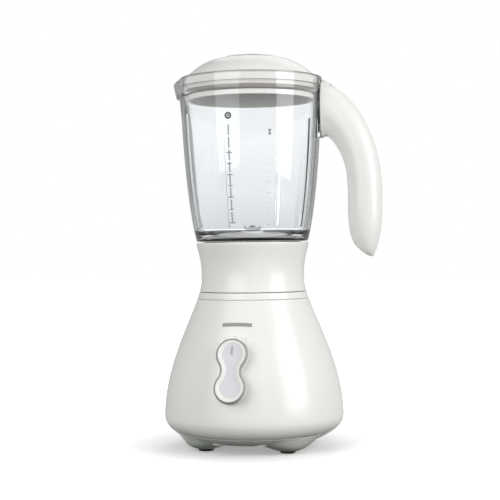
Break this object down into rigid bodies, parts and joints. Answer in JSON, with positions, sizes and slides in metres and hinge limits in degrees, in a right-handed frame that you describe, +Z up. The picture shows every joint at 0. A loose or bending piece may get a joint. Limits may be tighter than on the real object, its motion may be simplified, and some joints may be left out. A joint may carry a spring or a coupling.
{
  "type": "countertop blender",
  "caption": "White countertop blender: pear-shaped power unit with figure-eight speed knob, blade unit in a waisted collar, clear ribbed goblet, open-ended handle, domed lid with filler cap.",
  "frame": {"origin": "on the goblet's axis, at the height of the table that the feet stand on, level with the centre pad under the base to within its 1.9 mm clearance", "axes": "+Z up along the goblet's axis, the speed knob faces -Y, the handle points to +X and the spout to -X"},
  "size_m": [0.2148, 0.189, 0.38],
  "materials": {
    "gloss_white": "smooth gloss moulded plastic",
    "clear_plastic": "clear polished plastic, faintly blue-grey",
    "black_rubber": "matt",
    "grey_rubber": "matt",
    "steel": "brushed",
    "laminated_iron": "stacked laminations",
    "copper": "enamelled copper wire",
    "brass": "plain",
    "cast_alloy": "as cast",
    "carbon": "pressed carbon",
    "black_plastic": "fine texture",
    "yellow_plastic": "plain"
  },
  "bodies": {
    "power_unit": {"upper_housing": "gloss_white", "base_cover": "gloss_white", "shoulder_ring": "gloss_white", "foot_1": "black_rubber", "foot_2": "black_rubber", "foot_3": "black_rubber", "foot_4": "black_rubber", "base_screw_1": "steel", "base_screw_2": "steel", "base_screw_3": "steel", "base_screw_4": "steel", "stator_core": "laminated_iron", "field_coil_1": "copper", "field_coil_2": "copper", "upper_motor_bracket": "cast_alloy", "lower_motor_bracket": "cast_alloy", "upper_bearing": "steel", "lower_bearing": "steel", "stator_bolt_1": "steel", "stator_bolt_2": "steel", "brush_holder_1": "brass", "brush_holder_2": "brass", "carbon_brush_1": "carbon", "carbon_brush_2": "carbon", "motor_mount_1": "black_rubber", "motor_mount_2": "black_rubber", "motor_mount_3": "black_rubber", "motor_screw_1": "steel", "motor_screw_2": "steel", "motor_screw_3": "steel", "rotary_switch": "black_plastic", "interlock_switch": "black_plastic", "interlock_spring": "steel", "suppressor": "yellow_plastic", "cord_gland": "black_plastic"},
    "motor_rotor": {"motor_shaft": "steel", "armature_core": "laminated_iron", "armature_winding": "copper", "commutator": "brass", "cooling_fan": "black_plastic", "drive_coupling": "black_plastic"},
    "speed_knob": {"speed_knob": "gloss_white", "switch_spindle": "steel"},
    "interlock_pin": {"interlock_pin": "gloss_white"},
    "blade_unit": {"blade_collar": "gloss_white", "blade_hub": "gloss_white", "upper_bush": "brass", "lower_bush": "brass", "sealing_ring": "grey_rubber"},
    "blade_rotor": {"blade_shaft": "steel", "lower_blade": "steel", "upper_blade": "steel", "blade_nut": "steel", "driven_coupling": "black_plastic"},
    "goblet": {"goblet": "clear_plastic", "handle": "gloss_white"},
    "lid": {"lid": "gloss_white", "lid_seal": "grey_rubber"},
    "filler_cap": {"filler_cap": "gloss_white"}
  },
  "joints": [
    {"name": "motor_spin", "type": "hinge", "parent": "power_unit", "child": "motor_rotor", "pos_m": [0, 0, 0.076], "axis": [0, 0, 1], "continuous": true},
    {"name": "speed_knob_turn", "type": "hinge", "parent": "power_unit", "child": "speed_knob", "pos_m": [0, -0.07942, 0.0793], "axis": [0, -0.9511, 0.309], "range_deg": [-80, 40]},
    {"name": "goblet_lift", "type": "slide", "parent": "power_unit", "child": "blade_unit", "axis": [0, 0, 1], "range_m": [0, 0.05]},
    {"name": "interlock_slide", "type": "slide", "parent": "power_unit", "child": "interlock_pin", "axis": [0, 0, 1], "range_m": [0, 0.0025], "deforming": ["interlock_spring"]},
    {"name": "blade_spin", "type": "hinge", "parent": "blade_unit", "child": "blade_rotor", "pos_m": [0, 0, 0.19], "axis": [0, 0, 1], "continuous": true},
    {"name": "goblet_unscrew", "type": "hinge", "parent": "blade_unit", "child": "goblet", "pos_m": [0, 0, 0.19], "axis": [0, 0, 1], "range_deg": [0, 40]},
    {"name": "lid_lift", "type": "slide", "parent": "goblet", "child": "lid", "axis": [0, 0, 1], "range_m": [0, 0.035]},
    {"name": "filler_cap_lift", "type": "slide", "parent": "lid", "child": "filler_cap", "axis": [0, 0, 1], "range_m": [0, 0.02]}
  ],
  "couplings": [
    {"joint": "blade_spin", "follows": "motor_spin", "ratio": 1},
    {"joint": "interlock_slide", "follows": "goblet_lift", "ratio": 0.05}
  ]
}
